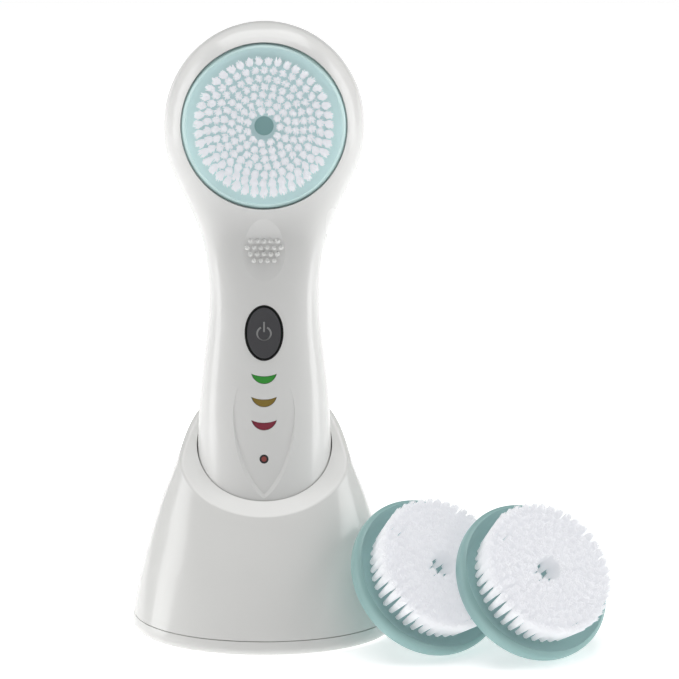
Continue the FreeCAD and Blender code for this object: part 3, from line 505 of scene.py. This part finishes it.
for name, body, node, out, foot in (
    ("head_tufts", "brush_head", "head_bristles", OUT_OF_FACE, HEAD_CENTRE + OUT_OF_FACE * BRISTLE_FOOT),
    ("spare_1_tufts", "spare_head_1", "spare_1_bristles", SPARE_AXIS, above_disc("spare_1_hub_disc")),
    ("spare_2_tufts", "spare_head_2", "spare_2_bristles", SPARE_AXIS, above_disc("spare_2_hub_disc")),
):
    mesh = grown.copy()
    mesh.name = name
    right = Vector((0, 0, 1)).cross(out).normalized()
    mesh.transform(placed(right, out.cross(right), out, foot))
    tufts = bpy.data.objects.new(name, mesh)
    bpy.context.scene.collection.objects.link(tufts)
    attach(tufts, body)
    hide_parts(node)

# ---------------------------------------------------------------- power button
# A dark soft-gloss cap in a thin sealing ring, coloured near-black as painted shade for the gap round the
# cap. A paler standby mark is let into its face, and stands a little proud of it.
button_plastic = plastic("button_plastic", (0.085, 0.085, 0.09), 0.38, 0.1, bump=0.05, coat=0.3)
# The seals share one near-black rubber. Around the button it is painted shade for the gap.
black_seal_and_gap_shade = plastic("black_seal_and_gap_shade", (0.012, 0.012, 0.012), 0.6, 0.1, bump=0.1)
finish(button_plastic, "power_button")
finish(black_seal_and_gap_shade, "button_seal", "shell_seal", "shaft_seal")

MARK_CENTRE = Vector((0.0, -0.0627))
MARK_RADIUS = 0.00208
MARK_STROKE = 0.00055
MARK_GAP = math.radians(26.0)
MARK_BAR = (0.0005, 0.0036)
MARK_RISE = 0.00013
MARK_DEPTH = 0.00008
IN_FRONT = 0.04


def inlay(name, paths, node, width, material):
    """Flat strips laid along paths in the front's plane, on the surface of a CAD node."""
    def on_surface(point, rise):
        start = FRONT_OF_HANDLE @ Vector((point.x, point.y, IN_FRONT))
        hit, place, _, _ = nodes[node].ray_cast(start, -OUT_OF_FACE)
        assert hit
        return place + OUT_OF_FACE * rise

    points, faces = [], []
    for path in paths:
        first = len(points)
        for i, spot in enumerate(path):
            before, after = path[max(i - 1, 0)], path[min(i + 1, len(path) - 1)]
            along = (after - before).normalized()
            side = Vector((-along.y, along.x)) * (width / 2)
            corners = ((side, MARK_RISE), (-side, MARK_RISE), (-side, -MARK_DEPTH), (side, -MARK_DEPTH))
            for edge, rise in corners:
                across = FRONT_OF_HANDLE.to_3x3() @ Vector((edge.x, edge.y, 0.0))
                points.append(on_surface(spot, rise) + across)
        for i in range(len(path) - 1):
            a, b = first + 4 * i, first + 4 * (i + 1)
            faces += [(a + k, a + (k + 1) % 4, b + (k + 1) % 4, b + k) for k in range(4)]
        end = first + 4 * (len(path) - 1)
        faces += [(first + 3, first + 2, first + 1, first), (end, end + 1, end + 2, end + 3)]
    mesh = bpy.data.meshes.new(name)
    mesh.from_pydata(points, [], faces)
    mesh.materials.append(material)
    bm = bmesh.new()
    bm.from_mesh(mesh)
    bmesh.ops.recalc_face_normals(bm, faces=bm.faces)
    bm.to_mesh(mesh)
    bm.free()
    piece = bpy.data.objects.new(name, mesh)
    bpy.context.scene.collection.objects.link(piece)
    return piece


ARC_STEPS = 40
BAR_STEPS = 8
angles = [MARK_GAP + 2 * (math.pi - MARK_GAP) * i / ARC_STEPS for i in range(ARC_STEPS + 1)]
ring_path = [MARK_CENTRE + MARK_RADIUS * Vector((math.sin(a), math.cos(a))) for a in angles]
bar_length = MARK_BAR[1] - MARK_BAR[0]
bar_heights = [MARK_BAR[0] + bar_length * i / BAR_STEPS for i in range(BAR_STEPS + 1)]
bar_path = [MARK_CENTRE + Vector((0.0, height)) for height in bar_heights]
mark_paint = plastic("mark_grey", (0.30, 0.30, 0.30), 0.5, bump=0.02)
mark = inlay("power_mark", (ring_path, bar_path), "power_button", MARK_STROKE, mark_paint)
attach(mark, "button")

# ---------------------------------------------------------------- indicator lights
# Three smile-shaped translucent windows for the speed and charge, and a small round charge light.
finish(plastic("window_green", (0.06, 0.36, 0.06), 0.3), "led_window_green")
finish(plastic("window_amber", (0.30, 0.21, 0.05), 0.3), "led_window_amber")
finish(plastic("window_red", (0.29, 0.05, 0.075), 0.3), "led_window_red")
finish(plastic("bezel_black", (0.03, 0.03, 0.03), 0.3), "charge_light_bezel")
finish(plastic("lens_red", (0.35, 0.1, 0.09), 0.25), "charge_light_lens")

# ---------------------------------------------------------------- works, fixings and pad
# The motor, gears, cell, coils and boards inside the handle and the cradle, and the screws, the inlet and
# the pad, which show only from behind or below.
def metal(name, colour, gloss):
    """Metal with the same skin as the plastics."""
    material = plastic(name, colour, gloss)
    material.node_tree.nodes["Principled BSDF"].inputs["Metallic"].default_value = 1.0
    return material


steel = metal("turned_steel", (0.6, 0.6, 0.62), 0.3)
finish(steel, "shell_screws", "cradle_screws", "battery_contacts", "gearhead", "motor_can")
finish(steel, "output_shaft", "pinion_shaft", "thrust_washer")
finish(metal("sintered_brass", (0.72, 0.52, 0.25), 0.4), "drive_bush", "pinion")
finish(metal("enamelled_copper", (0.72, 0.30, 0.14), 0.35), "receiver_coil", "transmitter_coil")
finish(plastic("pad_rubber", (0.10, 0.10, 0.10), 0.8, bump=0.2), "non_slip_pad")
finish(plastic("solder_mask", (0.02, 0.12, 0.05), 0.35), "control_board", "charger_circuit")
black_plastic = plastic("black_plastic", (0.03, 0.03, 0.03), 0.5)
finish(black_plastic, "tact_switch", "switch_plunger", "motor_end_cap", "dc_inlet")
finish(plastic("grey_plastic", (0.3, 0.31, 0.33), 0.5), "carrier_tray", "motor_mount", "coil_carrier")
finish(plastic("gear_acetal", (0.8, 0.8, 0.76), 0.35), "crown_gear")
finish(plastic("ferrite", (0.05, 0.05, 0.055), 0.6), "receiver_core", "transmitter_core")
finish(plastic("cell_wrap", (0.02, 0.09, 0.25), 0.25), "battery_cell")
finish(plastic("led_chip", (0.85, 0.82, 0.7), 0.3), "indicator_leds")
